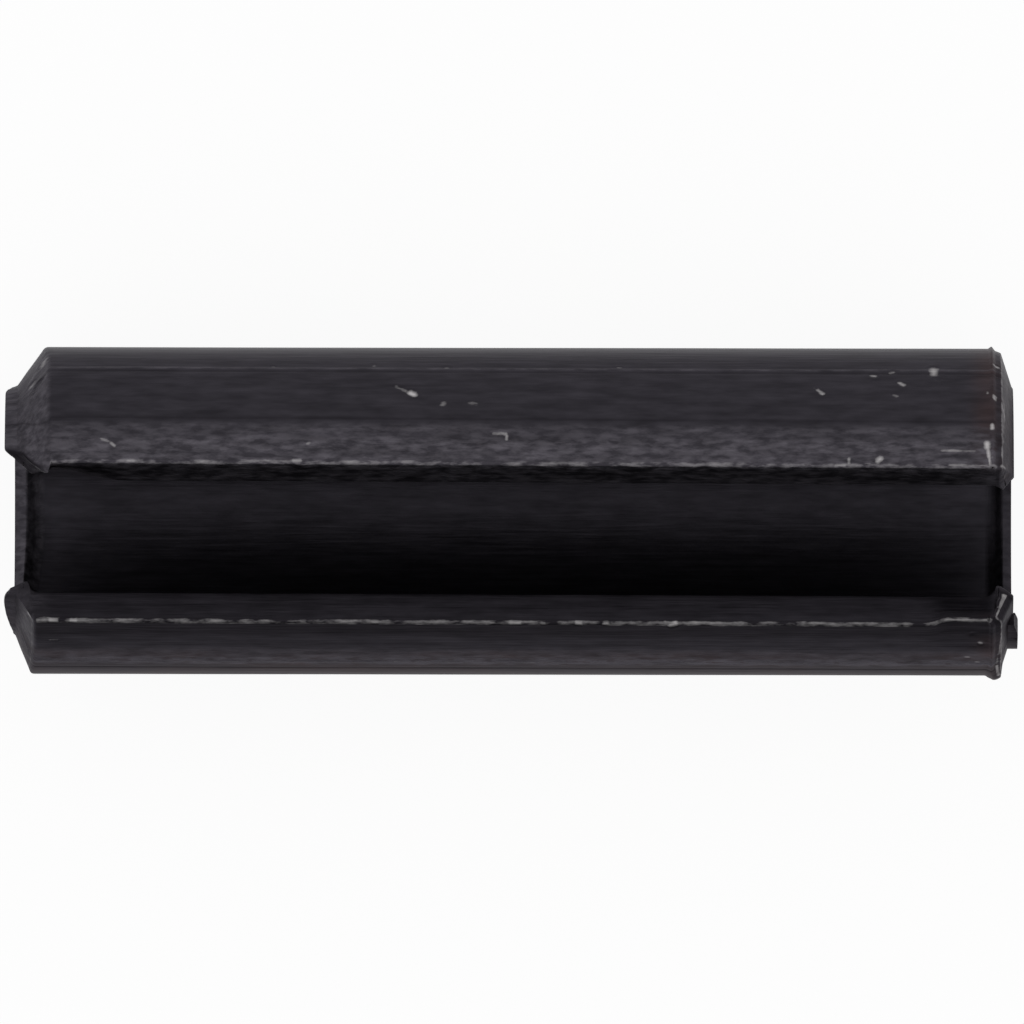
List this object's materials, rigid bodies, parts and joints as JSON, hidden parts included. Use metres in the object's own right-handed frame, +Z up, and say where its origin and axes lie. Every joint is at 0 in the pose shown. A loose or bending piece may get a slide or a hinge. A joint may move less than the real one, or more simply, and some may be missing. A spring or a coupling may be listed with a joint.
{
  "type": "slotted spring pin",
  "caption": "Short light-duty slotted spring pin: a rolled steel tube with an open slot along it and a chamfer at each end, for pressing into a drilled hole.",
  "frame": {"origin": "at the bottom, under the middle of the pin as it lies on its back", "axes": "+X along the pin towards its blunt end, +Z up through the middle of the slot"},
  "size_m": [0.0142, 0.0046, 0.0044],
  "materials": {
    "blackened_spring_steel": "black oxide, worn bright in spots along the slot's edges"
  },
  "bodies": {
    "root": {"slotted_spring_pin": "blackened_spring_steel"}
  },
  "joints": []
}
